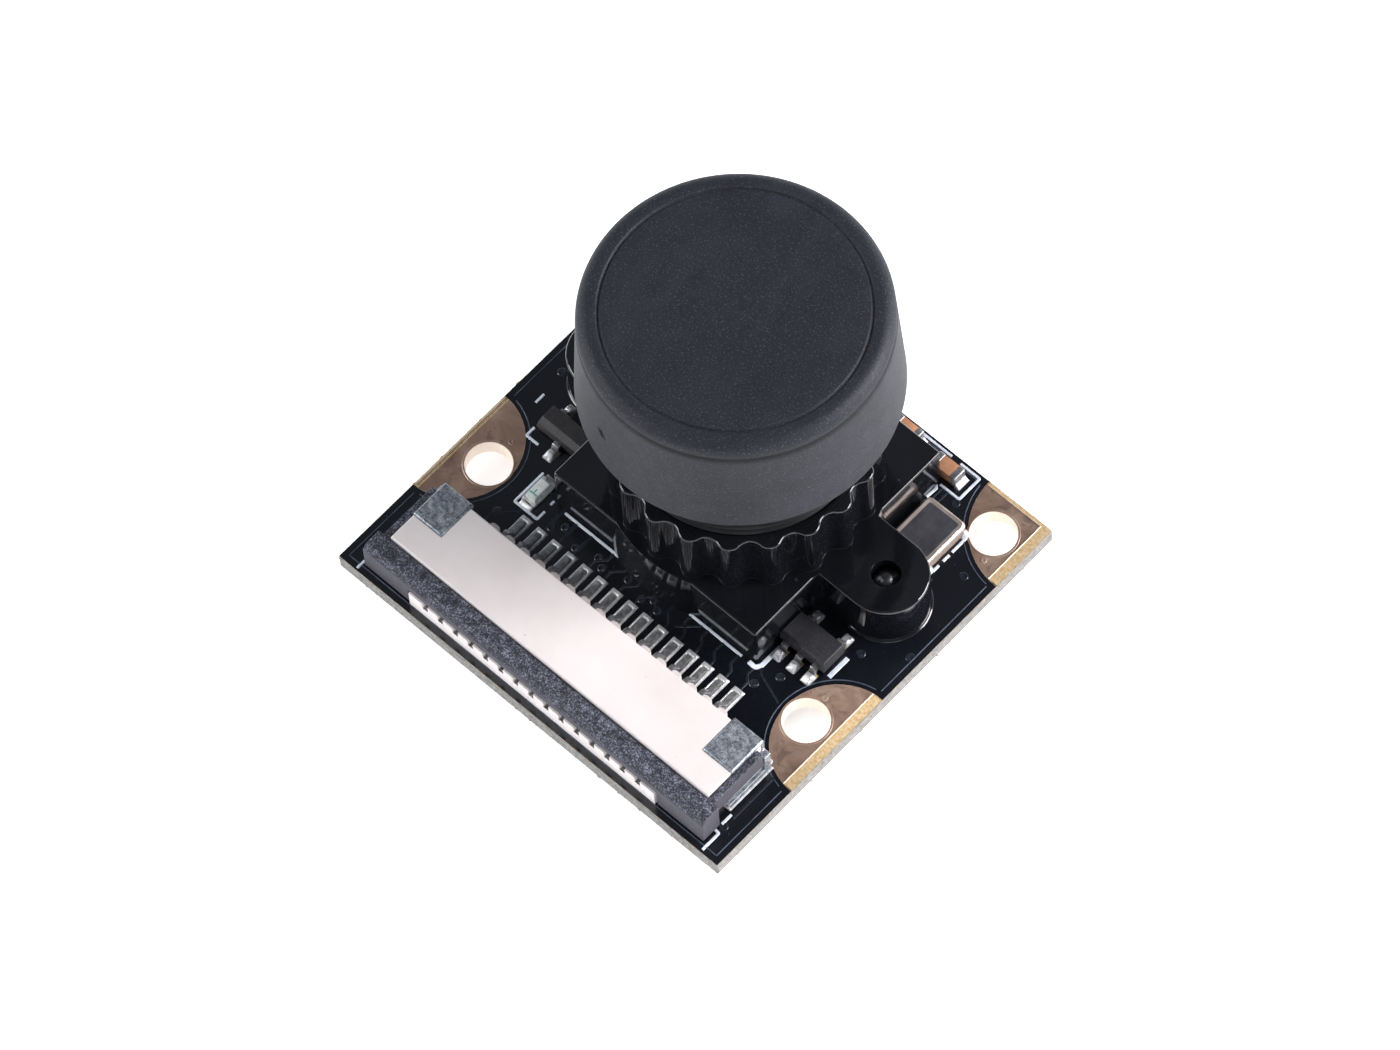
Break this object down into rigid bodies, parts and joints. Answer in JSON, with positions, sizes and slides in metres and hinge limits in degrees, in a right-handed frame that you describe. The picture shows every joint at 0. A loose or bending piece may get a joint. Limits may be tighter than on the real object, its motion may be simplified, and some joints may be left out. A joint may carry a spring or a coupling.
{
  "type": "camera module board",
  "caption": "Small square camera board with a ribbon-cable connector, a screwed-on lens holder, a threaded focusing lens and a push-on lens cap.",
  "frame": {"origin": "centre of the four mounting holes, on the board's back face", "axes": "+Z from the board towards the lens, +Y from the cable connector towards the lens, +X along the connector"},
  "size_m": [0.025, 0.0241, 0.0203],
  "materials": {
    "board_core": "woven glass-fibre laminate, pale, sawn edges",
    "solder_mask": "glossy black solder mask",
    "gold_plating": "dull flash gold over copper",
    "solder": "bright tin solder",
    "connector_plastic": "cream moulded plastic",
    "latch_plastic": "dark grey moulded plastic, speckled",
    "tinned_contact": "matt tin plating, mottled",
    "holder_plastic": "polished black moulding",
    "screw_steel": "dark zinc-plated steel",
    "sensor_ceramic": "dark ceramic",
    "sensor_silicon": "polished silicon",
    "optical_glass": "coated optical glass",
    "filter_glass": "blue-green filter glass",
    "barrel_metal": "black anodised aluminium",
    "cap_plastic": "matt black soft plastic",
    "package_plastic": "black moulding compound",
    "crystal_ceramic": "ceramic base with a plated rim",
    "crystal_metal": "dark nickel-plated lid",
    "capacitor_ceramic": "brown fired ceramic",
    "led_clear": "milky clear resin"
  },
  "bodies": {
    "board": {"circuit_board": "board_core", "solder_mask_top": "solder_mask", "solder_mask_bottom": "solder_mask", "plated_holes": "gold_plating", "solder_pads": "solder", "connector_housing": "connector_plastic", "connector_contacts": "tinned_contact", "solder_nail_left": "tinned_contact", "solder_nail_right": "tinned_contact", "lens_holder": "holder_plastic", "holder_screws": "screw_steel", "sensor_package": "sensor_ceramic", "sensor_die": "sensor_silicon", "sensor_cover_glass": "optical_glass", "infrared_filter": "filter_glass", "regulator_left_body": "package_plastic", "regulator_left_leads": "tinned_contact", "regulator_right_body": "package_plastic", "regulator_right_leads": "tinned_contact", "crystal_base": "crystal_ceramic", "crystal_lid": "crystal_metal", "capacitor_bodies": "capacitor_ceramic", "capacitor_ends": "solder", "status_led_body": "led_clear", "status_led_ends": "solder"},
    "latch": {"connector_slider": "latch_plastic"},
    "optics": {"front_element": "optical_glass", "second_element": "optical_glass", "third_element": "optical_glass", "rear_element": "optical_glass"},
    "lens": {"lens_barrel": "barrel_metal", "front_retaining_ring": "barrel_metal", "spacer_ring": "barrel_metal", "aperture_ring": "barrel_metal", "rear_retaining_ring": "barrel_metal"},
    "cap": {"lens_cap": "cap_plastic"}
  },
  "joints": [
    {"name": "latch_slide", "type": "slide", "parent": "board", "child": "latch", "axis": [0, -1, 0], "range_m": [0, 0.0012]},
    {"name": "focus_travel", "type": "slide", "parent": "board", "child": "optics", "axis": [0, 0, 1], "range_m": [-0.00025, 0.001]},
    {"name": "focus_turn", "type": "hinge", "parent": "optics", "child": "lens", "pos_m": [0, 0.0006, 0.005], "axis": [0, 0, 1], "range_deg": [-180, 720]},
    {"name": "cap_pull", "type": "slide", "parent": "lens", "child": "cap", "axis": [0, 0, 1], "range_m": [0, 0.009]}
  ],
  "couplings": [
    {"joint": "focus_turn", "follows": "focus_travel", "rad_per_m": 12566}
  ]
}
